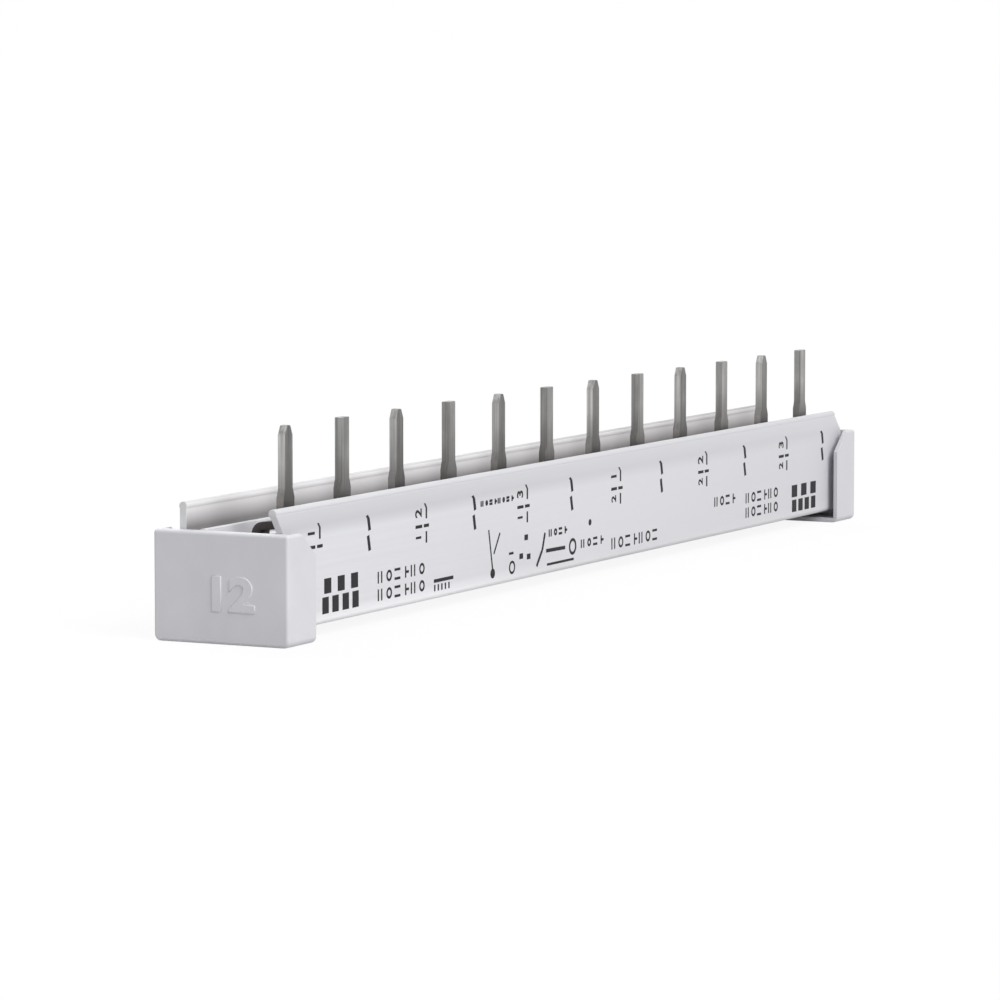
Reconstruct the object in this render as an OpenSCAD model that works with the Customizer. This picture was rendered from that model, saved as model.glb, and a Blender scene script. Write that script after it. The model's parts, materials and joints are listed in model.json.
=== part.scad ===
/* [Row of teeth] */
// Number of teeth in the row
pole_count = 12; // [6:1:24]
// Distance from one tooth to the next, the width of one module
pole_pitch = 17.6; // [15:0.1:27]
// How far the teeth stand above the front wall
tooth_reach = 11.8; // [8:0.1:16]
// Width of a tooth
tooth_w = 2.4; // [2:0.1:5]
// Extra width of a tooth's root, on each side
shoulder = 0.5; // [0.2:0.1:1.5]
// Height of the sloped step between root and tooth
shoulder_h = 1.4; // [0.5:0.1:3]
// How far the roots stand above the front wall
root_reach = 1; // [0:0.1:3]
// Distance from the front wall's outer face to the middle of the row
row_inset = 4.6; // [4:0.1:6]
// Cut on each side edge of a phase tooth's tip
tip_cut_w = 0.7; // [0.3:0.05:0.95]
// Height of that cut
tip_cut_h = 1.5; // [0.5:0.1:3]

/* [Conductors] */
// Thickness of the copper sheet
sheet_t = 1.3; // [1:0.1:1.8]
// Height of the strip that joins a comb's teeth
strip_h = 10.5; // [6:0.1:11]
// Radius in the corners between strip and roots
corner_r = 1; // [0.3:0.1:1.5]
// Radius of the bends, at the middle of the sheet
bend_r = 1.3; // [1:0.1:1.8]
// How much higher a crank is than its two bends together
crank_rise = 0.2; // [0:0.1:1.5]
// Distance from a strip's end to the end of the profile
strip_inset = 4; // [3:0.5:5]

/* [Profile] */
// Width over the two walls at the foot
profile_w = 17.7; // [16:0.1:26]
// Height of the front wall, with the floor
profile_h = 18.2; // [17.5:0.1:24]
// How far the back wall stands above the front wall
back_rise = 0.6; // [0:0.1:1.5]
// Thickness of the outer walls and the floor
wall = 1.2; // [0.8:0.1:1.5]
// Thickness of the ribs between the slots
rib = 1.6; // [1:0.1:2]
// How far the ribs stand above the strips
rib_rise = 1.4; // [0.5:0.1:3]
// Thickness of the screen behind the last slot
screen_t = 1; // [0.8:0.1:1.5]
// How far the screen stands above the ribs
screen_rise = 1.7; // [0.5:0.1:2.5]
// How far the top of the front wall leans inwards
lean = 1.3; // [0.3:0.1:2]
// Height of the leaning part of the front wall
lean_h = 3.5; // [2:0.1:5]
// Radius on the outer edges along the bottom
profile_round = 0.8; // [0.3:0.1:0.8]
// Thickness of the bead along the top of each wall
bead_d = 1.4; // [1.2:0.1:1.8]

/* [End caps] */
// Thickness of the skirt and floor of a cap
cap_wall = 0.8; // [0.6:0.05:1.5]
// Thickness of a cap's end plate
cap_plate = 2.2; // [1.5:0.1:3]
// Height of a cap
cap_h = 16.7; // [12:0.1:17]
// Length of the profile that the skirt covers
skirt_l = 6.3; // [5:0.1:8]
// Length of the sloped cut at the skirt's top corners
corner_cut_l = 4.4; // [2:0.1:5]
// Height of that cut
corner_cut_h = 3.6; // [2:0.1:5]
// Radius on a cap's outer edges along the bottom
cap_round = 1; // [0.5:0.1:1.2]
// Radius on the outer edges of the end plate and the top edges of the skirt
cap_edge = 0.5; // [0.2:0.1:0.6]
// Length of the blocks that steady the profile inside a cap
seat_l = 3; // [1:0.5:4]
// Height of the blocks beside the profile
seat_h = 8; // [4:0.5:10]
// Thickness of the ribs under the profile
seat_w = 1; // [0.6:0.1:2]
// Height of the tongues that plug into the outer slots
tongue_h = 6.5; // [4:0.1:7]

/* [Fits] */
// Gap between a strip and each side of its slot
slot_gap = 0.25; // [0.1:0.05:0.4]
// Gap between a skirt and the widest part of the profile, at the sides and below
cap_gap = 1.2; // [0.4:0.1:1.5]
// Gap between a cap's end plate and the end of the profile
plate_gap = 0.2; // [0.1:0.05:0.4]
// Gap between the steadying blocks and the profile
seat_gap = 0.2; // [0.1:0.05:0.3]
// Gap between a tongue and each side of its slot
tongue_gap = 0.25; // [0.1:0.05:0.4]
// Gap between a tongue and the end of the strip behind it
tongue_end_gap = 1; // [0.5:0.1:2]
// Gap between the ribs and the cranked teeth that pass over them
crank_gap = 0.5; // [0.2:0.1:1]

/* [Hidden] */
$fn = 48;

profile_grey = [0.86, 0.86, 0.88];
cap_grey = [0.78, 0.78, 0.81];
tinned_copper = [0.6, 0.59, 0.58];

// The profile lies along X, one module long for each pole, and Z is 0 under the caps.
profile_l = pole_count * pole_pitch;
profile_z = cap_wall + cap_gap;
floor_z = profile_z + wall;
wall_top_z = profile_z + profile_h;

// The front wall leans and the back wall stands upright, and their tops lie evenly about the middle.
front_y = -(profile_w + lean) / 2;
back_y = front_y + profile_w;

// One slot for each comb, numbered from the front wall, which is one side of the first slot.
slot_count = 4;
slot_w = sheet_t + 2 * slot_gap;
slot_pitch = slot_w + rib;
function slot_y(slot) = front_y + wall + slot_w / 2 + slot * slot_pitch;

// The teeth of all combs stand in one row near the front wall.
row_y = front_y + row_inset;
strip_l = profile_l - 2 * strip_inset;
strip_top_z = floor_z + strip_h;
rib_top_z = strip_top_z + rib_rise;
crank_z = rib_top_z + crank_gap;
crank_h = 2 * bend_r + crank_rise;
crank_top_z = crank_z + crank_h;
root_w = tooth_w + 2 * shoulder;
root_top_z = wall_top_z + root_reach;
tip_z = wall_top_z + tooth_reach;

// The poles that each comb serves, counted from 0 at the near end.
phase_count = 3;
function phase_poles(phase) = [for (i = [2 * phase : 2 * phase_count : pole_count - 1]) i];
neutral_poles = [for (i = [1 : 2 : pole_count - 1]) i];
function pole_x(pole) = (pole - (pole_count - 1) / 2) * pole_pitch;

cap_w = profile_w + lean + 2 * (cap_gap + cap_wall);
cap_l = cap_plate + plate_gap + skirt_l;
tongue_t = slot_w - 2 * tongue_gap;
tongue_l = strip_inset - tongue_end_gap;

// Flats in each bend of a crank, and the length by which joined forms run into each other.
bend_steps = 8;
lap = 0.2;

function reversed(list) = [for (i = [len(list) - 1 : -1 : 0]) list[i]];

// Turns a section drawn in Y and Z into a bar along X.
module along_x(length) {
    rotate([90, 0, 90]) linear_extrude(length, center = true) children();
}

// Turns an outline drawn in X and Z into a sheet of copper.
module in_sheet() {
    rotate([90, 0, 0]) linear_extrude(sheet_t, center = true) children();
}

// What a radius takes off a square corner that lies at the origin and points to the lower right.
module corner_waste(r) {
    difference() {
        translate([-r, -1]) square([r + 1, r + 1]);
        translate([-r, r]) circle(r);
    }
}

// A plate that stands on the X axis, with its bottom corners rounded, and its top corners if asked.
module plate(w, h, bottom_r, top_r = 0) {
    difference() {
        translate([-w / 2, 0]) square([w, h]);
        for (side = [0, 1]) mirror([side, 0]) {
            translate([w / 2, 0]) corner_waste(bottom_r);
            if (top_r > 0) translate([w / 2, h]) mirror([0, 1]) corner_waste(top_r);
        }
    }
}

// The front wall: upright, then leaning inwards, with a bead along its top.
module front_wall_section() {
    lean_z = wall_top_z - lean_h;
    bead_z = wall_top_z - bead_d / 2;
    translate([front_y, 0]) {
        polygon([
            [0, profile_z],
            [wall, profile_z],
            [wall, lean_z],
            [lean + wall, bead_z],
            [lean, bead_z],
            [0, lean_z]
        ]);
        translate([lean + wall / 2, bead_z]) circle(d = bead_d);
    }
}

// The back wall: upright up to the same bead.
module back_wall_section() {
    bead_z = wall_top_z + back_rise - bead_d / 2;
    translate([back_y - wall, profile_z]) square([wall, bead_z - profile_z]);
    translate([back_y - wall / 2, bead_z]) circle(d = bead_d);
}

// The ribs between the slots and the higher screen behind the last one.
module rib_sections() {
    for (slot = [0 : slot_count - 2])
        translate([slot_y(slot) + slot_w / 2, profile_z]) square([rib, rib_top_z - profile_z]);
    translate([slot_y(slot_count - 1) + slot_w / 2, profile_z])
        square([screen_t, rib_top_z + screen_rise - profile_z]);
}

module insulating_profile() {
    color(profile_grey) along_x(profile_l) difference() {
        union() {
            translate([front_y, profile_z]) square([profile_w, wall]);
            front_wall_section();
            back_wall_section();
            rib_sections();
        }
        translate([back_y, profile_z]) corner_waste(profile_round);
        translate([front_y, profile_z]) mirror([1, 0]) corner_waste(profile_round);
    }
}

// The outline of a cap from the side: its width is the cap's height, and it stands on the end face.
module cap_side() {
    top = cap_h / 2;
    difference() {
        plate(cap_h, cap_l, cap_edge);
        polygon([
            [top - corner_cut_h, cap_l],
            [top, cap_l - corner_cut_l],
            [top + 1, cap_l - corner_cut_l],
            [top + 1, cap_l + 1],
            [top - corner_cut_h, cap_l + 1]
        ]);
    }
}

// Blocks inside a cap, next to the end plate: one beside each wall and two ribs under the floor.
module seat_blocks() {
    length = plate_gap + seat_l + lap;
    depth = cap_gap - seat_gap + lap;
    back = cap_w / 2 - cap_wall + lap;
    translate([cap_plate - lap, 0, cap_wall - lap]) {
        translate([0, -back, 0]) cube([length, depth, seat_h + lap]);
        translate([0, back_y + seat_gap, 0]) cube([length, back - back_y - seat_gap, seat_h + lap]);
        for (slot = [1, slot_count - 2])
            translate([0, slot_y(slot) - seat_w / 2, 0]) cube([length, seat_w, depth]);
    }
}

// A moulded cap for the end at -X: end plate, three-sided skirt, steadying blocks and two tongues.
module end_cap() {
    color(cap_grey) translate([-profile_l / 2 - plate_gap - cap_plate, 0, 0]) {
        difference() {
            intersection() {
                translate([cap_l / 2, 0, 0]) along_x(cap_l) plate(cap_w, cap_h, cap_round, cap_edge);
                linear_extrude(cap_h) rotate(-90) plate(cap_w, cap_l, cap_edge);
                rotate([0, -90, -90]) linear_extrude(cap_w, center = true)
                    translate([cap_h / 2, 0]) cap_side();
            }
            translate([cap_plate, -cap_w / 2 + cap_wall, cap_wall])
                cube([cap_l, cap_w - 2 * cap_wall, cap_h]);
        }
        seat_blocks();
        for (slot = [0, slot_count - 1])
            translate([cap_plate - lap, slot_y(slot) - tongue_t / 2, floor_z + tongue_gap])
                cube([lap + plate_gap + tongue_l, tongue_t, tongue_h]);
    }
}

// How far each bend of a crank turns, for two equal bends that move a tooth sideways by step.
function bend_angle(step) =
    let (over = step - 2 * bend_r)
    atan2(over, crank_h) + asin(2 * bend_r / sqrt(pow(crank_h, 2) + pow(over, 2)));

// One face of a crank from the origin up to [step, crank_h], at a distance from the sheet's middle.
function crank_face(step, offset) =
    let (turns = [for (i = [0 : bend_steps]) bend_angle(step) * i / bend_steps])
    concat(
        [[offset, -lap]],
        [for (a = turns) [bend_r, 0] + (bend_r - offset) * [-cos(a), sin(a)]],
        [for (a = reversed(turns)) [step - bend_r, crank_h] + (bend_r + offset) * [cos(a), -sin(a)]],
        [[step + offset, crank_h + lap]]
    );

module crank_section(step) {
    polygon(concat(crank_face(step, sheet_t / 2), reversed(crank_face(step, -sheet_t / 2))));
}

// Half the outline of a tooth above its crank, from the root up to the tip.
function tooth_side(pointed) = concat(
    [
        [root_w / 2, crank_top_z],
        [root_w / 2, root_top_z],
        [tooth_w / 2, root_top_z + shoulder_h]
    ],
    pointed
        ? [[tooth_w / 2, tip_z - tip_cut_h], [tooth_w / 2 - tip_cut_w, tip_z]]
        : [[tooth_w / 2, tip_z]]
);

module tooth_outline(pointed) {
    side = tooth_side(pointed);
    polygon(concat(side, [for (point = reversed(side)) [-point.x, point.y]]));
}

// The strip with the roots that rise from it, before the cranks.
module strip_outline(poles) {
    translate([-strip_l / 2, floor_z]) square([strip_l, strip_h]);
    for (pole = poles) translate([pole_x(pole), strip_top_z]) {
        translate([-root_w / 2, -strip_h / 2]) square([root_w, crank_z - strip_top_z + strip_h / 2]);
        for (side = [0, 1]) mirror([side, 0]) translate([root_w / 2, 0]) difference() {
            translate([-corner_r / 2, -corner_r / 2]) square(1.5 * corner_r);
            translate([corner_r, corner_r]) circle(corner_r);
        }
    }
}

// A comb: its strip stands in a slot, and its teeth are cranked over the ribs into the row.
module comb(slot, poles, pointed) {
    step = row_y - slot_y(slot);
    color(tinned_copper) {
        translate([0, slot_y(slot), 0]) in_sheet() strip_outline(poles);
        for (pole = poles) translate([pole_x(pole), 0, 0]) {
            translate([0, slot_y(slot), crank_z]) mirror([0, step < 0 ? 1 : 0, 0])
                along_x(root_w) crank_section(abs(step));
            translate([0, row_y, 0]) in_sheet() tooth_outline(pointed);
        }
    }
}

module near_end_cap() {
    end_cap();
}

module far_end_cap() {
    mirror([1, 0, 0]) end_cap();
}

module phase_bar_1() {
    comb(2, phase_poles(0), true);
}

module phase_bar_2() {
    comb(1, phase_poles(1), true);
}

module phase_bar_3() {
    comb(0, phase_poles(2), true);
}

module neutral_bar() {
    comb(3, neutral_poles, false);
}

insulating_profile();
near_end_cap();
far_end_cap();
phase_bar_1();
phase_bar_2();
phase_bar_3();
neutral_bar();
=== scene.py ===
import json
import math

import bmesh
import bpy
from mathutils import Matrix, Vector

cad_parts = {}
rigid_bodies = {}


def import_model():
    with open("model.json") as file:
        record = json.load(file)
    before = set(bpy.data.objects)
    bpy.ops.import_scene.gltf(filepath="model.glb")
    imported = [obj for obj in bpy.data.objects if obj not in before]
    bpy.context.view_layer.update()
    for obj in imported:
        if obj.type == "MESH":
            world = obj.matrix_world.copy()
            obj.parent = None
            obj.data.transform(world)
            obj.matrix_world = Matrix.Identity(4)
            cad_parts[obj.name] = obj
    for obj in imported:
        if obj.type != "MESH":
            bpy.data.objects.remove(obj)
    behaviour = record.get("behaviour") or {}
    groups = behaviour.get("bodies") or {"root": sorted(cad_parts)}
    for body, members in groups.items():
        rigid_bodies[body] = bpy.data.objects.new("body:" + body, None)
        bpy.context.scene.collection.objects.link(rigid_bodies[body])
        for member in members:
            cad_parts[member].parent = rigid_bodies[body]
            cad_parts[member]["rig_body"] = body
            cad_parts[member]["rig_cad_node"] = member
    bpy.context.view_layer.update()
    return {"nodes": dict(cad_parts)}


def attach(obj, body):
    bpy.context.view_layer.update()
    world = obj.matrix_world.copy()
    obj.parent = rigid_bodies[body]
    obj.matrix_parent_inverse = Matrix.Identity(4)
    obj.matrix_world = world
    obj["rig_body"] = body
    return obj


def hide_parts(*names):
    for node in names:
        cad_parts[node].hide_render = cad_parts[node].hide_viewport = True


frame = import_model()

mm = 0.001
tiny = 0.004  # mm, how near a thing has to lie to the place that is asked for
facing = 0.9  # a face or edge follows an axis when its direction has at least this much of it
flatAngle = math.radians(0.5)
fineMerge, merge, seamMerge = 1e-7, 1e-6, 2e-6  # m, points closer than this become one
print("frame loaded:", ", ".join(sorted(frame["nodes"])))


# helpers for edit mode; all lengths are in mm

def deselectAll():
    if bpy.context.mode != "OBJECT":
        bpy.ops.object.mode_set(mode="OBJECT")
    for thing in bpy.context.view_layer.objects:
        thing.select_set(False)


def useOnly(piece):
    deselectAll()
    bpy.context.view_layer.objects.active = piece
    piece.select_set(True)


def editMesh(piece):
    useOnly(piece)
    bpy.ops.object.mode_set(mode="EDIT")
    bpy.ops.mesh.select_all(action="DESELECT")


def pickFaces(wanted):
    # wanted gets the middle of a face in mm and its normal
    bpy.ops.mesh.select_mode(type="FACE")
    bpy.ops.mesh.select_all(action="DESELECT")
    data = bpy.context.edit_object.data
    mesh = bmesh.from_edit_mesh(data)
    for face in mesh.faces:
        face.select_set(bool(wanted(face.calc_center_median() / mm, face.normal)))
    mesh.select_flush_mode()
    bmesh.update_edit_mesh(data)


def pickEdges(wanted):
    # wanted gets the two ends of an edge in mm
    bpy.ops.mesh.select_mode(type="EDGE")
    bpy.ops.mesh.select_all(action="DESELECT")
    data = bpy.context.edit_object.data
    mesh = bmesh.from_edit_mesh(data)
    for edge in mesh.edges:
        edge.select_set(bool(wanted(edge.verts[0].co / mm, edge.verts[1].co / mm)))
    mesh.select_flush_mode()
    bmesh.update_edit_mesh(data)


def pickFlatEdges(wanted):
    # edges inside a flat face; wanted gets an edge's direction, its face's normal and its middle in mm
    bpy.ops.mesh.select_mode(type="EDGE")
    bpy.ops.mesh.select_all(action="DESELECT")
    data = bpy.context.edit_object.data
    mesh = bmesh.from_edit_mesh(data)
    for edge in mesh.edges:
        if len(edge.link_faces) == 2 and edge.calc_face_angle() < flatAngle:
            a, b = (point.co / mm for point in edge.verts)
            edge.select_set(bool(wanted((b - a).normalized(), edge.link_faces[0].normal, (a + b) / 2)))
    mesh.select_flush_mode()
    bmesh.update_edit_mesh(data)


def pickPoints(wanted):
    bpy.ops.mesh.select_mode(type="VERT")
    bpy.ops.mesh.select_all(action="DESELECT")
    data = bpy.context.edit_object.data
    mesh = bmesh.from_edit_mesh(data)
    for point in mesh.verts:
        point.select_set(bool(wanted(point.co / mm)))
    mesh.select_flush_mode()
    bmesh.update_edit_mesh(data)


def near(a, b):
    return abs(a - b) < tiny


def pull(x, y, z):
    bpy.ops.mesh.extrude_region_move(TRANSFORM_OT_translate={"value": (x * mm, y * mm, z * mm)})


def shift(x, y, z):
    bpy.ops.transform.translate(value=(x * mm, y * mm, z * mm))


def cut(point, normal, **options):
    bpy.ops.mesh.bisect(plane_co=[p * mm for p in point], plane_no=normal, threshold=fineMerge, **options)


def addBlock(name, low, high):
    deselectAll()
    middle = [(a + b) / 2 * mm for a, b in zip(low, high)]
    size = [(b - a) * mm for a, b in zip(low, high)]
    bpy.ops.mesh.primitive_cube_add(size=1, location=middle, scale=size)
    piece = bpy.context.active_object
    piece.name = name
    bpy.ops.object.transform_apply(location=True, rotation=True, scale=True)
    return piece


def copyOf(piece, name):
    twin = piece.copy()
    twin.data = piece.data.copy()
    twin.name = name
    bpy.context.scene.collection.objects.link(twin)
    return twin


def textToMesh():
    # a converted text has loose seams between its faces and sides, so they are merged
    bpy.ops.object.convert(target="MESH")
    editMesh(bpy.context.active_object)
    bpy.ops.mesh.select_all(action="SELECT")
    bpy.ops.mesh.remove_doubles(threshold=fineMerge)
    bpy.ops.mesh.normals_make_consistent(inside=False)
    bpy.ops.object.mode_set(mode="OBJECT")
    return bpy.context.active_object


def joinAll(name, pieces):
    deselectAll()
    for piece in pieces:
        piece.select_set(True)
    bpy.context.view_layer.objects.active = pieces[0]
    bpy.ops.object.join()
    whole = bpy.context.active_object
    whole.name = name
    return whole


def softenEdges(piece, width, segments, roundedFrom=35, smoothUpTo=42):
    # rounds every edge sharper than roundedFrom degrees, and keeps the flat faces flat in the shading
    useOnly(piece)
    bpy.ops.object.modifier_add(type="BEVEL")
    bevel = piece.modifiers[-1]
    bevel.width = width * mm
    bevel.segments = segments
    bevel.limit_method = "ANGLE"
    bevel.angle_limit = math.radians(roundedFrom)
    bevel.use_clamp_overlap = True
    bpy.ops.object.modifier_apply(modifier=bevel.name)
    bpy.ops.object.shade_smooth_by_angle(angle=math.radians(smoothUpTo))
    bpy.ops.object.modifier_add(type="WEIGHTED_NORMAL")
    weighted = piece.modifiers[-1]
    weighted.keep_sharp = True
    bpy.ops.object.modifier_apply(modifier=weighted.name)


def finishPiece(piece, material, node=None):
    piece.data.materials.clear()
    piece.data.materials.append(material)
    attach(piece, "root")
    if node:
        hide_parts(node)


# finishes

def startMaterial(name):
    material = bpy.data.materials.new(name)
    material.use_nodes = True
    return material, material.node_tree.nodes, material.node_tree.links


def stretchedNoise(nodes, links, scale, detail, roughness=0.55):
    # noise on Object coordinates; scale is how many grains fit in a metre along x, y and z
    place = nodes.new("ShaderNodeTexCoord")
    mapping = nodes.new("ShaderNodeMapping")
    mapping.inputs["Scale"].default_value = scale
    noise = nodes.new("ShaderNodeTexNoise")
    noise.inputs["Scale"].default_value = 1.0
    noise.inputs["Detail"].default_value = detail
    noise.inputs["Roughness"].default_value = roughness
    links.new(place.outputs["Object"], mapping.inputs["Vector"])
    links.new(mapping.outputs["Vector"], noise.inputs["Vector"])
    return noise.outputs["Fac"]


def spread(nodes, links, value, low, high, fromLow=0.35, fromHigh=0.65):
    # takes a value from its own range to low and high; noise mostly lies in the range given here
    step = nodes.new("ShaderNodeMapRange")
    step.inputs["From Min"].default_value = fromLow
    step.inputs["From Max"].default_value = fromHigh
    step.inputs["To Min"].default_value = low
    step.inputs["To Max"].default_value = high
    links.new(value, step.inputs["Value"])
    return step.outputs["Result"]


def separateObject(nodes, links):
    place = nodes.new("ShaderNodeTexCoord")
    parts = nodes.new("ShaderNodeSeparateXYZ")
    links.new(place.outputs["Object"], parts.inputs["Vector"])
    return parts.outputs


def calculate(nodes, links, operation, first, second):
    step = nodes.new("ShaderNodeMath")
    step.operation = operation
    for socket, value in zip(step.inputs, (first, second)):
        if isinstance(value, bpy.types.NodeSocket):
            links.new(value, socket)
        else:
            socket.default_value = value
    return step.outputs[0]


shareSocket, firstSocket, secondSocket, blendSocket = 0, 6, 7, 2  # of a mix node for colours


def blendColours(nodes, links, share, first, second):
    mix = nodes.new("ShaderNodeMix")
    mix.data_type = "RGBA"
    for socket, colour in ((mix.inputs[firstSocket], first), (mix.inputs[secondSocket], second)):
        if isinstance(colour, bpy.types.NodeSocket):
            links.new(colour, socket)
        else:
            socket.default_value = (*colour, 1)
    links.new(share, mix.inputs[shareSocket])
    return mix.outputs[blendSocket]


def addBump(nodes, links, height, strength, distance, under=None):
    bump = nodes.new("ShaderNodeBump")
    bump.inputs["Strength"].default_value = strength
    bump.inputs["Distance"].default_value = distance * mm
    links.new(height, bump.inputs["Height"])
    if under:
        links.new(under, bump.inputs["Normal"])
    return bump.outputs["Normal"]


# spans and heights in the finishes are in metres, as the Object coordinates that they are compared with
extrudedPlastic = {
    "pale": (0.80, 0.80, 0.83),
    "dull": (0.77, 0.77, 0.80),
    # painted shade: the profile is painted a little greyer towards the far end
    "paintedShade": (0.64, 0.64, 0.672), "paintedShadeSpan": (-0.11, 0.11),  # a little greyer towards the far end
    "dieLines": (6, 1400, 1400),
    "cloud": (40, 160, 160), "cloudShare": 0.35,
    "grain": (5200, 5200, 5200),
    "rough": (0.42, 0.52), "ior": 1.5,
    "grainBump": (0.12, 0.02), "lineBump": (0.1, 0.02),  # strength, and height in mm
    # inner face of the back wall: painted shade, light under the bead, dark towards the bottom of the channel
    # and darker towards the far end
    "underBeadNear": (0.86, 0.845, 0.85), "underBeadFar": (0.70, 0.672, 0.674), "underBeadSpan": (-0.02, 0.09),
    "deepNear": (0.31, 0.30, 0.30), "deepFar": (0.19, 0.177, 0.174), "deepSpan": (-0.056, -0.034),
    "deepBelow": 0.0169, "deepEnds": 0.0194, "deepFade": (0.0130, 0.0163), "deepLeast": 0.4,
    "innerFromY": 0.0055, "innerToY": 0.00706,
    # bead of the back wall: painted shade, a little greyer than the wall and greyer still towards the far end
    "rimNear": (0.76, 0.755, 0.775), "rimFar": (0.47, 0.462, 0.466), "rimSpan": (-0.08, 0.1),
    "rimFromY": 0.0065, "rimAbove": 0.0187, "rimFull": 0.0190,
    # front wall: painted shade, a little greyer where it leans, up to the bead
    "leanShade": (0.61, 0.61, 0.638), "leanShadeFrom": 0.0152, "leanShadeAbove": 0.0172,
    "leanShadeEnds": (0.0191, 0.0197), "beadShare": 0.4,
    "frontToY": -0.006,
    # foot of the front wall: painted light towards the near end and painted shade towards the far end
    "footNear": (0.93, 0.93, 0.955), "footFar": (0.70, 0.70, 0.725), "footSpan": (-0.06, 0.01),
    "footBelow": 0.0026, "footEnds": 0.0044,
}


def makeExtrudedPlastic():
    look = extrudedPlastic
    material, nodes, links = startMaterial("profilePlastic")
    shader = nodes["Principled BSDF"]
    lines = stretchedNoise(nodes, links, look["dieLines"], detail=4)
    cloud = stretchedNoise(nodes, links, look["cloud"], detail=2)
    grain = stretchedNoise(nodes, links, look["grain"], detail=2)
    place = separateObject(nodes, links)

    def ramp(axis, low, high, span):
        return spread(nodes, links, place[axis], low, high, *span)

    def both(first, second):
        return calculate(nodes, links, "MULTIPLY", first, second)

    def beyond(axis, limit):
        return calculate(nodes, links, "GREATER_THAN", place[axis], limit)

    def before(axis, limit):
        return calculate(nodes, links, "LESS_THAN", place[axis], limit)

    tone = blendColours(nodes, links, spread(nodes, links, lines, 0, 1), look["dull"], look["pale"])
    share = spread(nodes, links, cloud, 0, look["cloudShare"])
    patchy = blendColours(nodes, links, share, tone, look["dull"])
    # painted shade towards the far end
    patchy = blendColours(nodes, links, ramp("X", 0, 1, look["paintedShadeSpan"]), patchy, look["paintedShade"])
    tones = {}
    for part in ("underBead", "deep", "rim", "foot"):
        along = ramp("X", 0, 1, look[part + "Span"])
        tones[part] = blendColours(nodes, links, along, look[part + "Near"], look[part + "Far"])
    # back wall: its bead, then the inner face below the bead, both with painted shade
    # painted shade on the bead
    rim = both(beyond("Y", look["rimFromY"]), ramp("Z", 0, 1, (look["rimAbove"], look["rimFull"])))
    rimmed = blendColours(nodes, links, rim, patchy, tones["rim"])
    # painted shade deep in the channel, fading again lower down
    depth = both(ramp("Z", 1, 0, (look["deepBelow"], look["deepEnds"])),
                 ramp("Z", look["deepLeast"], 1, look["deepFade"]))
    paintedChannelShade = blendColours(nodes, links, depth, tones["underBead"], tones["deep"])
    inner = both(beyond("Y", look["innerFromY"]), before("Y", look["innerToY"]))
    behind = blendColours(nodes, links, inner, rimmed, paintedChannelShade)
    # front wall: painted shade where it leans, then painted light and shade at its foot
    front = before("Y", look["frontToY"])
    band = both(ramp("Z", 0, 1, (look["leanShadeFrom"], look["leanShadeAbove"])),
                ramp("Z", 1, look["beadShare"], look["leanShadeEnds"]))
    leanShade = blendColours(nodes, links, both(front, band), behind, look["leanShade"])
    # painted light and shade along the foot
    low = both(front, ramp("Z", 1, 0, (look["footBelow"], look["footEnds"])))
    links.new(blendColours(nodes, links, low, leanShade, tones["foot"]), shader.inputs["Base Color"])
    links.new(spread(nodes, links, lines, *look["rough"]), shader.inputs["Roughness"])
    rough = addBump(nodes, links, grain, *look["grainBump"])
    links.new(addBump(nodes, links, lines, *look["lineBump"], rough), shader.inputs["Normal"])
    shader.inputs["IOR"].default_value = look["ior"]
    return material


mouldedPlastic = {
    "pale": (0.755, 0.755, 0.79),
    "dull": (0.715, 0.715, 0.75),
    # painted shade: the caps are painted a little greyer towards the far end
    "paintedShade": (0.65, 0.65, 0.68), "paintedShadeSpan": (-0.05, 0.11),
    "cloud": (120, 120, 90),
    "grain": (4200, 4200, 4200),
    "rough": (0.44, 0.58), "ior": 1.5,
    "grainBump": (0.22, 0.03),
}


def makeMouldedPlastic():
    look = mouldedPlastic
    material, nodes, links = startMaterial("capPlastic")
    shader = nodes["Principled BSDF"]
    cloud = stretchedNoise(nodes, links, look["cloud"], detail=3)
    grain = stretchedNoise(nodes, links, look["grain"], detail=3)
    tone = blendColours(nodes, links, spread(nodes, links, cloud, 0, 1), look["dull"], look["pale"])
    # painted shade towards the far end
    along = spread(nodes, links, separateObject(nodes, links)["X"], 0, 1, *look["paintedShadeSpan"])
    links.new(blendColours(nodes, links, along, tone, look["paintedShade"]), shader.inputs["Base Color"])
    links.new(spread(nodes, links, grain, *look["rough"]), shader.inputs["Roughness"])
    links.new(addBump(nodes, links, grain, *look["grainBump"]), shader.inputs["Normal"])
    shader.inputs["IOR"].default_value = look["ior"]
    return material


tinnedMetal = {
    "bright": (0.37, 0.367, 0.36),
    "dull": (0.19, 0.187, 0.183),
    # painted shade towards the channel, deepest on the cranks
    "rootShade": (0.085, 0.077, 0.071),
    "crank": (0.06, 0.054, 0.05), "crankBelow": 0.0186, "crankEnds": 0.0202,
    "metallic": 0.6,
    "rollLines": (2600, 2600, 45),
    "cloud": (350, 350, 160), "cloudShare": 0.5,
    "grain": (7000, 7000, 3000),
    "darkBelow": 0.0198,
    "brightAbove": 0.0265,
    "farTone": 1.25, "farSpan": (0, 0.09),  # lighter towards the far end
    "rough": (0.34, 0.5),
    "grainBump": (0.15, 0.01), "lineBump": (0.35, 0.02),
}
# painted light and shade on a comb, by the way a face looks: the factor for its stamped edges, which face the
# ends, and for its rolled faces; the phase bars and the neutral bar get differently lit copies of one metal
combLightAndShade = {
    "phaseMetal": {"edge": 1.75, "face": 0.62},
    "neutralMetal": {"edge": 1.08, "face": 1.02},
}


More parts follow.
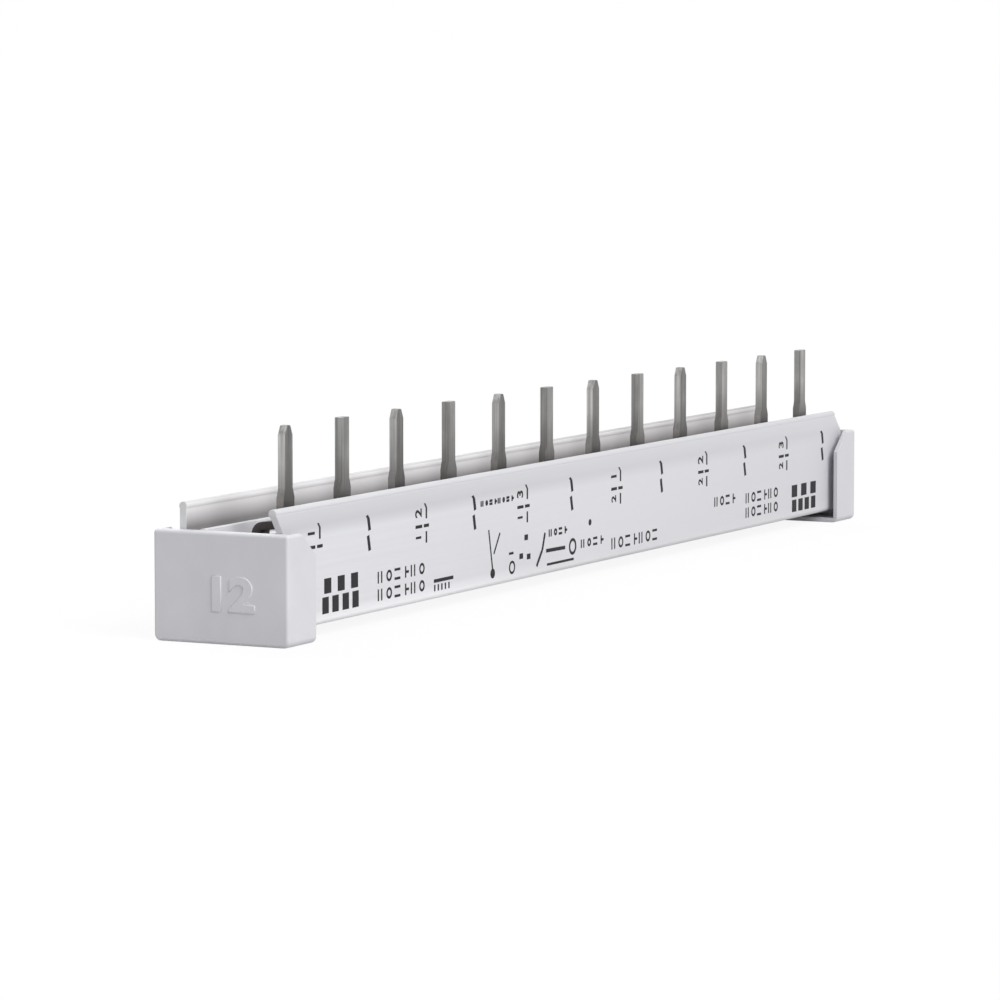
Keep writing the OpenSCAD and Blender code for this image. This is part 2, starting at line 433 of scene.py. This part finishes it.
def makeTinnedMetal(name, tones):
    look = tinnedMetal
    material, nodes, links = startMaterial(name)
    shader = nodes["Principled BSDF"]
    shader.inputs["Metallic"].default_value = look["metallic"]
    lines = stretchedNoise(nodes, links, look["rollLines"], detail=4)
    cloud = stretchedNoise(nodes, links, look["cloud"], detail=3)
    grain = stretchedNoise(nodes, links, look["grain"], detail=2)
    streaks = blendColours(nodes, links, spread(nodes, links, lines, 0, 1), look["dull"], look["bright"])
    # painted shade: the teeth are painted darker and warmer towards the channel, where the front wall shades
    # their roots
    place = separateObject(nodes, links)
    rise = spread(nodes, links, place["Z"], 1, 0, look["darkBelow"], look["brightAbove"])
    paintedShade = blendColours(nodes, links, rise, streaks, look["rootShade"])
    share = spread(nodes, links, cloud, 0, look["cloudShare"])
    patchy = blendColours(nodes, links, share, paintedShade, look["dull"])
    # painted light and shade by the way a face looks along the bar
    stamped = nodes.new("ShaderNodeAttribute")
    stamped.attribute_name = "stampedEdge"
    toned = nodes.new("ShaderNodeVectorMath")
    toned.operation = "SCALE"
    links.new(patchy, toned.inputs[0])
    side = spread(nodes, links, stamped.outputs["Fac"], tones["face"], tones["edge"], 0, 1)
    along = spread(nodes, links, place["X"], 1, look["farTone"], *look["farSpan"])
    links.new(calculate(nodes, links, "MULTIPLY", side, along), toned.inputs["Scale"])
    # painted shade: the cranks down in the channel are painted nearly black
    low = spread(nodes, links, place["Z"], 1, 0, look["crankBelow"], look["crankEnds"])
    final = blendColours(nodes, links, low, toned.outputs["Vector"], look["crank"])
    links.new(final, shader.inputs["Base Color"])
    links.new(spread(nodes, links, cloud, *look["rough"]), shader.inputs["Roughness"])
    rough = addBump(nodes, links, grain, *look["grainBump"])
    links.new(addBump(nodes, links, lines, *look["lineBump"], rough), shader.inputs["Normal"])
    return material


wallInk = {
    "dark": (0.01, 0.01, 0.012), "light": (0.03, 0.03, 0.033), "speckle": (5000, 5000, 5000),
    "rough": (0.5, 0.7), "specular": 0.2,
}


def makeInk():
    look = wallInk
    material, nodes, links = startMaterial("printInk")
    shader = nodes["Principled BSDF"]
    speckle = stretchedNoise(nodes, links, look["speckle"], detail=2)
    tone = blendColours(nodes, links, spread(nodes, links, speckle, 0, 1), look["dark"], look["light"])
    links.new(tone, shader.inputs["Base Color"])
    links.new(spread(nodes, links, speckle, *look["rough"]), shader.inputs["Roughness"])
    shader.inputs["Specular IOR Level"].default_value = look["specular"]
    return material


profilePlastic = makeExtrudedPlastic()
capPlastic = makeMouldedPlastic()
metals = {name: makeTinnedMetal(name, tones) for name, tones in combLightAndShade.items()}
ink = makeInk()
print("materials made")


# insulating profile: the CAD extrusion, merged, with its saw-cut ends and ribs softened

profile = {"name": "insulatingProfile", "edge": 0.12, "edgeSteps": 3}


def makeProfile():
    node = frame["nodes"]["insulating_profile"]
    piece = copyOf(node, profile["name"])
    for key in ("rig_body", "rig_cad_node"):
        if key in piece:
            del piece[key]
    piece.parent = None
    editMesh(piece)
    bpy.ops.mesh.select_all(action="SELECT")
    bpy.ops.mesh.remove_doubles(threshold=merge)
    bpy.ops.mesh.dissolve_limited(angle_limit=flatAngle)
    bpy.ops.object.mode_set(mode="OBJECT")
    softenEdges(piece, profile["edge"], profile["edgeSteps"])
    finishPiece(piece, profilePlastic, "insulating_profile")


makeProfile()
print("profile done")


# end caps

cap = {
    "face": -107.8, "raisedFace": -108.0, "plateInside": -105.8, "innerEnd": -102.6, "skirtEnd": -99.3,
    "halfWidth": 11.5, "cavityHalf": 10.7, "height": 16.7, "floor": 0.8,
    "cutLength": 4.4, "cutHeight": 3.6,
    "bottomRound": 1.0, "bottomSteps": 6, "faceRound": 0.5, "faceSteps": 4, "edge": 0.13, "edgeSteps": 2,
    "tongueY": (-7.4, 2.8), "tongueHalf": 0.65, "tongueLow": 3.45, "tongueHigh": 9.95,
    "seatY": (-9.7, 8.4), "seatTop": 8.8, "ribY": (-4.0, -0.6), "ribHalf": 0.5, "ribTop": 1.8,
    "number": "12", "numberSize": 6.9, "numberStretch": 1.25, "numberY": -1.5, "numberZ": 7.3,
    "numberBold": 0.2, "numberHalfDepth": 0.25, "numberRound": 0.08, "numberCurve": 6,
}


def makeCapNumber():
    # raised number on the end plate, read from outside
    deselectAll()
    bpy.ops.object.text_add(location=(0, 0, 0))
    label = bpy.context.active_object
    label.data.body = cap["number"]
    label.data.size = cap["numberSize"] * mm
    label.data.align_x = "CENTER"
    label.data.align_y = "CENTER"
    label.data.resolution_u = cap["numberCurve"]
    label.data.offset = cap["numberBold"] * mm
    label.data.extrude = cap["numberHalfDepth"] * mm
    label.data.bevel_depth = cap["numberRound"] * mm
    label.data.bevel_resolution = 1
    label = textToMesh()
    # its own x goes to -y, its own y to +z and its face to -x
    turned = Matrix(((0, 0, -1, 0), (-1, 0, 0, 0), (0, 1, 0, 0), (0, 0, 0, 1)))
    inFront = cap["numberHalfDepth"] + cap["numberRound"]
    spot = Vector((cap["raisedFace"] + inFront, cap["numberY"], cap["numberZ"])) * mm
    stretch = Matrix.Diagonal((cap["numberStretch"], 1, 1, 1))
    label.matrix_world = Matrix.Translation(spot) @ turned @ stretch
    bpy.ops.object.transform_apply(location=True, rotation=True, scale=True)
    return label


def makeCapBody():
    # the plate first, out of which the rest is drawn towards the middle of the part
    piece = addBlock("capBody", (cap["face"], -cap["halfWidth"], 0),
                     (cap["plateInside"], cap["halfWidth"], cap["height"]))
    editMesh(piece)

    def inside(middle, normal):
        return normal.x > facing and near(middle.x, cap["plateInside"])

    def inSkirt(middle):
        return abs(middle.y) > cap["cavityHalf"] or middle.z < cap["floor"]

    def standsUp(middle):
        # skirt, blocks beside the profile, ribs under it and tongues for its outer slots
        block = (middle.y < cap["seatY"][0] or middle.y > cap["seatY"][1]) and middle.z < cap["seatTop"]
        rib = middle.z < cap["ribTop"] and any(abs(middle.y - y) < cap["ribHalf"] for y in cap["ribY"])
        tongue = cap["tongueLow"] < middle.z < cap["tongueHigh"] and any(
            abs(middle.y - y) < cap["tongueHalf"] for y in cap["tongueY"])
        return inSkirt(middle) or block or rib or tongue

    def bothAt(first, second, limit):
        return near(first, limit) and near(second, limit)

    def alongSide(a, b):
        return bothAt(abs(a.y), abs(b.y), cap["halfWidth"]) and near(a.y, b.y)

    acrossCuts = [-cap["cavityHalf"], *cap["seatY"], cap["cavityHalf"]]
    for middles, half in ((cap["tongueY"], cap["tongueHalf"]), (cap["ribY"], cap["ribHalf"])):
        acrossCuts += [y + side * half for y in middles for side in (-1, 1)]
    for y in acrossCuts:
        pickFaces(inside)
        cut((0, y, 0), (0, 1, 0))
    for z in (cap["floor"], cap["ribTop"], cap["tongueLow"], cap["seatTop"], cap["tongueHigh"]):
        pickFaces(inside)
        cut((0, 0, z), (0, 0, 1))
    pickFaces(lambda m, n: inside(m, n) and standsUp(m))
    pull(cap["innerEnd"] - cap["plateInside"], 0, 0)
    pickFaces(lambda m, n: n.x > facing and near(m.x, cap["innerEnd"]) and inSkirt(m))
    pull(cap["skirtEnd"] - cap["innerEnd"], 0, 0)
    # faces in one plane are joined, one way and then the other, so that they come out the same each time
    pickFlatEdges(lambda way, n, m: abs(way.x) > facing or (
        abs(n.x) > facing and abs(way.y) > facing and not near(m.x, cap["plateInside"])))
    bpy.ops.mesh.dissolve_edges(use_verts=True)
    pickFlatEdges(lambda way, n, m: abs(way.z) > facing or (abs(n.z) > facing and abs(way.y) > facing))
    bpy.ops.mesh.dissolve_edges(use_verts=True)
    # sloped cut at the skirt's free top corners
    bpy.ops.mesh.select_all(action="SELECT")
    slope = Vector((cap["cutHeight"], 0, cap["cutLength"])).normalized()
    cut((cap["skirtEnd"] - cap["cutLength"], 0, cap["height"]), slope, use_fill=True, clear_outer=True)
    # rounded edges along the bottom, then those round the face and along the top
    pickEdges(lambda a, b: bothAt(a.z, b.z, 0) and alongSide(a, b))
    bpy.ops.mesh.bevel(offset=cap["bottomRound"] * mm, offset_type="OFFSET", segments=cap["bottomSteps"],
                       profile=0.5, affect="EDGES")
    pickEdges(lambda a, b: bothAt(a.x, b.x, cap["face"]) or (
        bothAt(a.z, b.z, cap["height"]) and alongSide(a, b)))
    bpy.ops.mesh.bevel(offset=cap["faceRound"] * mm, offset_type="OFFSET", segments=cap["faceSteps"],
                       profile=0.5, affect="EDGES")
    bpy.ops.mesh.select_all(action="SELECT")
    bpy.ops.mesh.remove_doubles(threshold=merge)
    bpy.ops.mesh.normals_make_consistent(inside=False)
    bpy.ops.object.mode_set(mode="OBJECT")
    return piece


nearBody = makeCapBody()
# the other cap is the mirror image, because the slots lie nearer to the front
farBody = copyOf(nearBody, "farBody")
useOnly(farBody)
farBody.scale.x = -1
bpy.ops.object.transform_apply(location=True, rotation=True, scale=True)
editMesh(farBody)
bpy.ops.mesh.select_all(action="SELECT")
bpy.ops.mesh.normals_make_consistent(inside=False)
bpy.ops.object.mode_set(mode="OBJECT")
nearNumber = makeCapNumber()
farNumber = copyOf(nearNumber, "farNumber")
useOnly(farNumber)
farNumber.rotation_euler.z = math.pi
bpy.ops.object.transform_apply(location=True, rotation=True, scale=True)
for name, node, body, number in (("nearCap", "near_end_cap", nearBody, nearNumber),
                                 ("farCap", "far_end_cap", farBody, farNumber)):
    softenEdges(body, cap["edge"], cap["edgeSteps"])
    finishPiece(joinAll(name, [body, number]), capPlastic, node)
print("end caps done")


# combs

comb = {
    "sheet": 1.3, "stripEnd": 101.6, "stripLow": 3.2, "stripTop": 13.7, "cornerRadius": 1.0, "cornerSteps": 5,
    "rootHalf": 1.7, "crankLow": 15.6, "crankHigh": 18.4, "bendRadius": 1.3, "bendSteps": 8,
    "rootTop": 21.2, "shoulder": 0.5, "shoulderTop": 22.6,
    "tip": 32.0, "tipCutWidth": 0.7, "tipCutHeight": 1.5,
    "poleCount": 12, "pitch": 17.6, "rowY": -4.9, "slotStep": 3.4, "frontSlotY": -7.4,
    "edge": 0.14, "edgeSteps": 2,
}
bars = {
    "phaseBar1": {"node": "phase_bar_1", "slot": 2, "poles": (0, 6), "pointed": True},
    "phaseBar2": {"node": "phase_bar_2", "slot": 1, "poles": (2, 8), "pointed": True},
    "phaseBar3": {"node": "phase_bar_3", "slot": 0, "poles": (4, 10), "pointed": True},
    "neutralBar": {"node": "neutral_bar", "slot": 3, "poles": (1, 3, 5, 7, 9, 11), "pointed": False},
}


def poleX(pole):
    return (pole - (comb["poleCount"] - 1) / 2) * comb["pitch"]


def slotY(slot):
    return comb["frontSlotY"] + slot * comb["slotStep"]


def narrowTop(amount):
    # both side edges of the tooth's end move inwards, and its end face is picked again
    data = bpy.context.edit_object.data
    top = max(point.co.z for point in bmesh.from_edit_mesh(data).verts) / mm
    for side in (-1, 1):
        pickPoints(lambda p: near(p.z, top) and p.x * side > 0)
        shift(-side * amount, 0, 0)
    pickFaces(lambda m, n: near(m.z, top) and n.z > facing)


def makeTooth(name, y, pointed):
    # one tooth at x = 0, open below, where it will meet the strip
    half, thick = comb["rootHalf"], comb["sheet"]
    deselectAll()
    bpy.ops.mesh.primitive_plane_add(size=1, location=(0, y * mm, comb["stripTop"] * mm))
    tooth = bpy.context.active_object
    tooth.name = name
    tooth.scale = (2 * (half + comb["cornerRadius"]) * mm, thick * mm, 1)
    bpy.ops.object.transform_apply(location=True, rotation=True, scale=True)
    editMesh(tooth)
    bpy.ops.mesh.select_all(action="SELECT")
    # fillets between strip and root
    radius, steps = comb["cornerRadius"], comb["cornerSteps"]
    for step in range(1, steps + 1):
        before, after = (math.radians(90) * s / steps for s in (step - 1, step))
        pull(0, 0, radius * (math.cos(before) - math.cos(after)))
        narrowTop(radius * (math.sin(after) - math.sin(before)))
    pull(0, 0, comb["crankLow"] - comb["stripTop"] - radius)
    # crank: a bend towards the row, a straight stretch and a bend back
    side = 1 if comb["rowY"] > y else -1
    across, up, bend = abs(comb["rowY"] - y), comb["crankHigh"] - comb["crankLow"], comb["bendRadius"]
    over = across - 2 * bend
    angle = math.atan2(over, up) + math.asin(2 * bend / math.hypot(up, over))
    turn = {"steps": comb["bendSteps"], "axis": (1, 0, 0)}
    lowCentre = (0, (y + side * bend) * mm, comb["crankLow"] * mm)
    highCentre = (0, (comb["rowY"] - side * bend) * mm, comb["crankHigh"] * mm)
    bpy.ops.mesh.spin(angle=side * angle, center=lowCentre, **turn)
    pull(0, side * (across - 2 * bend * (1 - math.cos(angle))), up - 2 * bend * math.sin(angle))
    bpy.ops.mesh.spin(angle=-side * angle, center=highCentre, **turn)
    # blade
    pull(0, 0, comb["rootTop"] - comb["crankHigh"])
    pull(0, 0, comb["shoulderTop"] - comb["rootTop"])
    narrowTop(comb["shoulder"])
    if pointed:
        pull(0, 0, comb["tip"] - comb["tipCutHeight"] - comb["shoulderTop"])
        pull(0, 0, comb["tipCutHeight"])
        narrowTop(comb["tipCutWidth"])
    else:
        pull(0, 0, comb["tip"] - comb["shoulderTop"])
    pickFaces(lambda m, n: near(m.z, comb["stripTop"]))
    bpy.ops.mesh.delete(type="FACE")
    bpy.ops.object.mode_set(mode="OBJECT")
    return tooth


def markStampedEdges(piece):
    # the material reads this to paint light and shade by the way a face looks: 1 on the sheared edges of the
    # sheet, 0 on its rolled faces
    share = piece.data.attributes.new("stampedEdge", "FLOAT", "FACE")
    for face, item in zip(piece.data.polygons, share.data):
        item.value = face.normal.x ** 2


def makeBar(name, bar):
    y, half, thick = slotY(bar["slot"]), comb["rootHalf"] + comb["cornerRadius"], comb["sheet"] / 2
    strip = addBlock(name, (-comb["stripEnd"], y - thick, comb["stripLow"]),
                     (comb["stripEnd"], y + thick, comb["stripTop"]))
    editMesh(strip)
    for pole in bar["poles"]:
        for side in (-1, 1):
            bpy.ops.mesh.select_all(action="SELECT")
            cut((poleX(pole) + side * half, 0, 0), (1, 0, 0))
    # the strip is open where the teeth stand
    pickFaces(lambda m, n: n.z > facing and any(abs(m.x - poleX(pole)) < half for pole in bar["poles"]))
    bpy.ops.mesh.delete(type="FACE")
    tooth = makeTooth(name + "Tooth", y, bar["pointed"])
    teeth = [tooth] + [copyOf(tooth, name + "Tooth") for pole in bar["poles"][1:]]
    for pole, piece in zip(bar["poles"], teeth):
        useOnly(piece)
        piece.location.x = poleX(pole) * mm
        bpy.ops.object.transform_apply(location=True, rotation=True, scale=True)
    whole = joinAll(name, [strip] + teeth)
    editMesh(whole)
    bpy.ops.mesh.select_all(action="SELECT")
    bpy.ops.mesh.remove_doubles(threshold=seamMerge)
    bpy.ops.mesh.normals_make_consistent(inside=False)
    bpy.ops.object.mode_set(mode="OBJECT")
    softenEdges(whole, comb["edge"], comb["edgeSteps"])
    markStampedEdges(whole)
    metal = metals["phaseMetal" if bar["pointed"] else "neutralMetal"]
    finishPiece(whole, metal, bar["node"])


for barName, bar in bars.items():
    makeBar(barName, bar)
    print(barName, "done")


# print on the front wall: plain numbers and simple shapes

printing = {
    "surface": -9.5, "proud": 0.02, "sunk": 0.03, "creaseZ": 16.7, "creaseAngle": 24.9,
    "numberBold": 0.07, "numberCurve": 4, "ringSides": 20, "dotSides": 16,
    # a row takes turns with two bars, a ring, two rails and a bar with a flag; places and lengths in steps
    "rowWidth": 0.4, "barPlaces": (-0.3, 0.1), "railLength": 0.7, "flagPlace": 0.2, "flagLength": 0.4,
    # marks below the teeth, from the middle of a mark: x, z and size of numbers; x, z, width, height of bars
    "markZ": 14.5, "firstShift": 1.0,
    "upperNumber": (-1.3, 1.5, 2.9),
    "upperBars": ((-1.3, -0.6, 2.2, 0.5), (1.2, 1.7, 0.5, 2.4), (1.2, -0.6, 1.7, 0.5)),
    "lowerNumber": (-1.3, -2.3, 2.4), "lowerBars": ((1.2, -2.4, 0.5, 1.8),),
    "leaningBars": ((0, 1.5, 0.8, 2.4), (0, -1.6, 0.8, 2.4)), "barLean": 13,
}
inkDepth = printing["proud"] + printing["sunk"]
inkFront = printing["surface"] - printing["proud"]
inkMiddle = printing["surface"] + (printing["sunk"] - printing["proud"]) / 2
inkPieces = []


def inkBar(x, z, width, height, lean=0.0):
    # a flat bar with its middle at x, z, turned by lean degrees
    back = printing["surface"] + printing["sunk"]
    piece = addBlock("inkBar", (-width / 2, inkFront, -height / 2), (width / 2, back, height / 2))
    piece.rotation_euler.y = -math.radians(lean)
    piece.location = (x * mm, 0, z * mm)
    bpy.ops.object.transform_apply(location=True, rotation=True, scale=True)
    inkPieces.append(piece)


def inkLine(x0, z0, x1, z1, width):
    length = math.hypot(x1 - x0, z1 - z0)
    inkBar((x0 + x1) / 2, (z0 + z1) / 2, length, width, math.degrees(math.atan2(z1 - z0, x1 - x0)))


def placeInk(piece, x, y, z, turned):
    piece.matrix_world = Matrix.Translation((x * mm, y * mm, z * mm)) @ turned
    bpy.ops.object.transform_apply(location=True, rotation=True, scale=True)
    inkPieces.append(piece)


def inkRing(x, z, radius, width):
    deselectAll()
    bpy.ops.mesh.primitive_circle_add(vertices=printing["ringSides"], radius=radius * mm, fill_type="NGON",
                                      location=(0, 0, 0))
    piece = bpy.context.active_object
    editMesh(piece)
    bpy.ops.mesh.select_all(action="SELECT")
    bpy.ops.mesh.inset(thickness=width * mm)
    bpy.ops.mesh.delete(type="FACE")
    bpy.ops.mesh.select_all(action="SELECT")
    pull(0, 0, -inkDepth)
    bpy.ops.mesh.select_all(action="SELECT")
    bpy.ops.mesh.normals_make_consistent(inside=False)
    bpy.ops.object.mode_set(mode="OBJECT")
    placeInk(piece, x, inkFront, z, Matrix.Rotation(math.radians(90), 4, "X"))


def inkDot(x, z, radius):
    deselectAll()
    bpy.ops.mesh.primitive_cylinder_add(vertices=printing["dotSides"], radius=radius * mm,
                                        depth=inkDepth * mm)
    placeInk(bpy.context.active_object, x, inkMiddle, z, Matrix.Rotation(math.radians(90), 4, "X"))


def inkNumber(text, x, z, size):
    # reads upwards, with its feet towards +x
    deselectAll()
    bpy.ops.object.text_add(location=(0, 0, 0))
    label = bpy.context.active_object
    label.data.body = text
    label.data.size = size * mm
    label.data.align_x = "CENTER"
    label.data.align_y = "CENTER"
    label.data.resolution_u = printing["numberCurve"]
    label.data.offset = printing["numberBold"] * mm
    label.data.extrude = inkDepth / 2 * mm
    # its own x goes to +z, its own y to -x and its face to -y
    turned = Matrix(((0, -1, 0, 0), (0, 0, -1, 0), (1, 0, 0, 0), (0, 0, 0, 1)))
    placeInk(textToMesh(), x, inkMiddle, z, turned)


def inkRow(x, z, height, count, step):
    # a row of small plain shapes, of four kinds that take turns
    width, edge = printing["rowWidth"], (height - printing["rowWidth"]) / 2
    for i in range(count):
        at = x + i * step
        kind = i % 4
        if kind == 0:
            for place in printing["barPlaces"]:
                inkBar(at + place * step, z, width, height)
        elif kind == 1:
            inkRing(at, z, height / 2, width)
        elif kind == 2:
            for side in (1, -1):
                inkBar(at, z + side * edge, printing["railLength"] * step, width)
        else:
            inkBar(at, z, width, height)
            inkBar(at + printing["flagPlace"] * step, z, printing["flagLength"] * step, width)


def inkBars(x, z, shapes, lean=0.0):
    for across, above, width, height in shapes:
        inkBar(x + across, z + above, width, height, lean)


def inkLabel(text, x, z, number, shapes):
    across, above, size = number
    inkNumber(text, x + across, z + above, size)
    inkBars(x, z, shapes)


# one mark below each tooth: the number of its phase bar and its own place on that bar, or two leaning bars
phases = 3
for pole in range(comb["poleCount"]):
    x, z = poleX(pole), printing["markZ"]
    if pole % 2 == 0:
        # the first mark keeps clear of the cap and has no lower half
        if pole == 0:
            x += printing["firstShift"]
        inkLabel(str(pole // 2 % phases + 1), x, z, printing["upperNumber"], printing["upperBars"])
        if pole > 0:
            inkLabel(str(pole // (2 * phases) + 1), x, z, printing["lowerNumber"], printing["lowerBars"])
    else:
        inkBars(x, z, printing["leaningBars"], printing["barLean"])
print("marks at the poles done")

# shapes on the rest of the wall, each with the values of its function, in mm along the wall and up it
drawing = (
    # plain blocks near both ends
    *((inkBar, x, 7.7, 2.2, 2.3) for x in (-92.2, -88.0, -83.8)),
    *((inkBar, x, 4.8, 2.0, 2.5) for x in (-92.9, -89.8, -86.6, -83.5)),
    *((inkBar, x, 7.1, 2.5, 2.2) for x in (84.0, 88.3, 92.6)),
    *((inkBar, x, 4.4, 2.0, 2.2) for x in (83.9, 86.8, 89.7, 92.7)),
    # rows of small shapes
    (inkRow, -75.4, 7.3, 1.8, 6, 2.7),
    (inkRow, -75.4, 4.6, 1.8, 6, 2.7),
    (inkRow, -41.2, 15.6, 0.9, 8, 1.5),
    (inkRow, 7.5, 4.7, 1.9, 7, 2.7),
    (inkRow, 49.4, 8.1, 1.7, 4, 2.4),
    (inkRow, 63.0, 7.6, 1.8, 6, 2.5),
    (inkRow, 63.0, 5.0, 1.8, 6, 2.5),
    # a bar over five short ones
    (inkBar, -54.6, 4.9, 6.6, 0.55),
    *((inkBar, -57.6 + 1.2 * i, 3.8, 0.45, 1.0) for i in range(5)),
    # small plain line diagram
    (inkLine, -39.0, 11.2, -37.6, 4.6, 0.4),
    (inkLine, -35.0, 10.4, -37.2, 7.2, 0.4),
    (inkDot, -37.6, 4.1, 0.8),
    (inkRing, -30.7, 4.4, 1.1, 0.4),
    (inkBar, -31.0, 6.7, 1.6, 0.4),
    *((inkBar, x, z, 1.3, 0.9) for x, z in ((-25.6, 8.8), (-27.4, 5.9), (-24.7, 5.6))),
    (inkLine, -18.7, 8.9, -19.7, 6.2, 0.6),
    (inkLine, -19.7, 6.2, -21.8, 3.7, 0.6),
    (inkLine, -18.3, 5.9, -11.2, 5.8, 0.6),
    (inkRing, -8.4, 5.7, 1.4, 0.5),
    (inkLine, -18.0, 3.6, -8.0, 3.6, 0.4),
    (inkDot, -1.8, 9.1, 0.55),
    (inkRow, -16.6, 8.7, 1.2, 4, 1.8),
    (inkRow, -4.4, 5.8, 1.4, 4, 2.3),
)
for draw, *places in drawing:
    draw(*places)
print("shapes on the wall done")

wallPrint = joinAll("wallPrint", inkPieces)
# above the crease of the wall the print leans with it
editMesh(wallPrint)
bpy.ops.mesh.select_all(action="SELECT")
cut((0, 0, printing["creaseZ"]), (0, 0, 1))
pickPoints(lambda p: p.z > printing["creaseZ"] + tiny)
bpy.ops.transform.rotate(value=math.radians(printing["creaseAngle"]), orient_axis="X", orient_type="GLOBAL",
                         center_override=(0, printing["surface"] * mm, printing["creaseZ"] * mm))
bpy.ops.object.mode_set(mode="OBJECT")
finishPiece(wallPrint, ink)
print("print on the wall done")


# floor, lamps and camera

studio = {
    "floorSide": 40.0, "floorColour": (0.6, 0.6, 0.6), "shadowShare": 0.1, "ambient": 0.4, "backdrop": 1.0,
    # where each lamp shines from, how much light it gives and how wide it looks, in degrees
    "lamps": {
        "frontLamp": {"from": (-0.22, -0.73, 0.65), "strength": 2.02, "softness": 40},
        "backLamp": {"from": (0.45, 0.60, 0.66), "strength": 1.10, "softness": 60},
    },
}
view = {
    "azimuth": -63.2, "elevation": 5.5, "distance": 808.0, "right": -7.3, "up": 12.2,
    "lens": 173.4, "sensor": 36.0,
}


def seenDirectly(nodes, links):
    # 1 where the camera, or a reflection, looks at the background itself
    path = nodes.new("ShaderNodeLightPath")
    total = path.outputs["Is Camera Ray"]
    for name in ("Is Glossy Ray", "Is Transmission Ray"):
        add = nodes.new("ShaderNodeMath")
        add.operation = "ADD"
        add.use_clamp = True
        links.new(total, add.inputs[0])
        links.new(path.outputs[name], add.inputs[1])
        total = add.outputs[0]
    return total


def makeWorld():
    world = bpy.data.worlds.new("studioWorld")
    world.use_nodes = True
    bpy.context.scene.world = world
    nodes, links = world.node_tree.nodes, world.node_tree.links
    nodes.clear()
    mix = nodes.new("ShaderNodeMixShader")
    # the light from around, then what is seen behind the object
    for socket, strength in zip(mix.inputs[1:], (studio["ambient"], studio["backdrop"])):
        white = nodes.new("ShaderNodeBackground")
        white.inputs["Color"].default_value = (1, 1, 1, 1)
        white.inputs["Strength"].default_value = strength
        links.new(white.outputs["Background"], socket)
    out = nodes.new("ShaderNodeOutputWorld")
    links.new(seenDirectly(nodes, links), mix.inputs["Fac"])
    links.new(mix.outputs["Shader"], out.inputs["Surface"])


def makeFloor():
    deselectAll()
    bpy.ops.mesh.primitive_plane_add(size=studio["floorSide"], location=(0, 0, 0))
    floor = bpy.context.active_object
    floor.name = "studioFloor"
    material, nodes, links = startMaterial("floorWhite")
    nodes.remove(nodes["Principled BSDF"])
    seen = seenDirectly(nodes, links)
    share = studio["shadowShare"]
    # the floor is white where it is looked at, and keeps a part of the shadow
    paint = nodes.new("ShaderNodeBsdfDiffuse")
    colour = blendColours(nodes, links, seen, studio["floorColour"], (share, share, share))
    links.new(colour, paint.inputs["Color"])
    glow = nodes.new("ShaderNodeEmission")
    links.new(spread(nodes, links, seen, 0, 1 - share, 0, 1), glow.inputs["Strength"])
    both = nodes.new("ShaderNodeAddShader")
    links.new(paint.outputs["BSDF"], both.inputs[0])
    links.new(glow.outputs["Emission"], both.inputs[1])
    links.new(both.outputs["Shader"], nodes["Material Output"].inputs["Surface"])
    floor.data.materials.append(material)


def makeLamps():
    for name, lamp in studio["lamps"].items():
        light = bpy.data.lights.new(name, "SUN")
        light.energy = lamp["strength"]
        light.angle = math.radians(lamp["softness"])
        holder = bpy.data.objects.new(name, light)
        bpy.context.scene.collection.objects.link(holder)
        holder.location = Vector(lamp["from"])
        holder.rotation_euler = (-Vector(lamp["from"])).to_track_quat("-Z", "Y").to_euler()


def makeCamera():
    azimuth, elevation = math.radians(view["azimuth"]), math.radians(view["elevation"])
    level, rise = math.cos(elevation), math.sin(elevation)
    back = Vector((math.sin(azimuth) * level, -math.cos(azimuth) * level, rise))
    turn = (-back).to_track_quat("-Z", "Y")
    right, up = turn @ Vector((1, 0, 0)), turn @ Vector((0, 1, 0))
    data = bpy.data.cameras.new("photoCamera")
    data.sensor_width = view["sensor"]
    data.lens = view["lens"]
    camera = bpy.data.objects.new("photoCamera", data)
    bpy.context.scene.collection.objects.link(camera)
    camera.location = (back * view["distance"] + right * view["right"] + up * view["up"]) * mm
    camera.rotation_euler = turn.to_euler()
    bpy.context.scene.camera = camera


makeWorld()
makeFloor()
makeLamps()
makeCamera()
bpy.context.scene.view_settings.view_transform = "Standard"
print("studio done")
